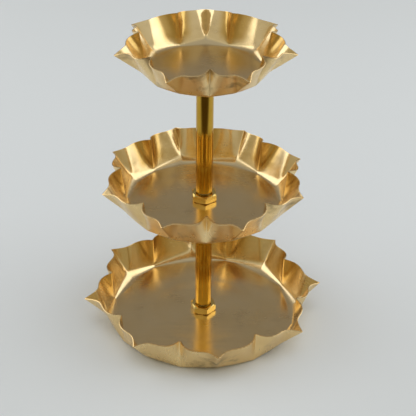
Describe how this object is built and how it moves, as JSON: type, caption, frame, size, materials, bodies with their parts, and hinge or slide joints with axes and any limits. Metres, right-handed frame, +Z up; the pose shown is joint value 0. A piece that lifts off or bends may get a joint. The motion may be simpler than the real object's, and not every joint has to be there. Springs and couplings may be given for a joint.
{
  "type": "tiered cake stand",
  "caption": "Tiered serving stand: shallow brass bowls with crimped petal-shaped rims, stacked by size on a slim round centre post with hexagon nuts at the joints.",
  "frame": {"origin": "on the post axis, on the plane that the lowest bowl rests on", "axes": "+Z up along the post; -Y towards the viewer, +X to the viewer's right"},
  "size_m": [0.2309, 0.224, 0.296],
  "materials": {
    "bowl_brass": "satin, fine brush lines and darker stains on the outside",
    "post_brass": "polished tube",
    "nut_brass": "polished",
    "fastener_brass": "plain machined",
    "bush_steel": "turned"
  },
  "bodies": {
    "root": {"bottom_bowl": "bowl_brass", "middle_bowl": "bowl_brass", "top_bowl": "bowl_brass", "lower_post_tube": "post_brass", "upper_post_tube": "post_brass", "lower_post_bottom_bush": "bush_steel", "lower_post_top_bush": "bush_steel", "upper_post_bottom_bush": "bush_steel", "upper_post_top_bush": "bush_steel", "lower_nut": "nut_brass", "middle_nut": "nut_brass", "base_washer": "fastener_brass", "base_bolt": "fastener_brass", "middle_stud": "bush_steel", "top_stud": "bush_steel"}
  },
  "joints": []
}
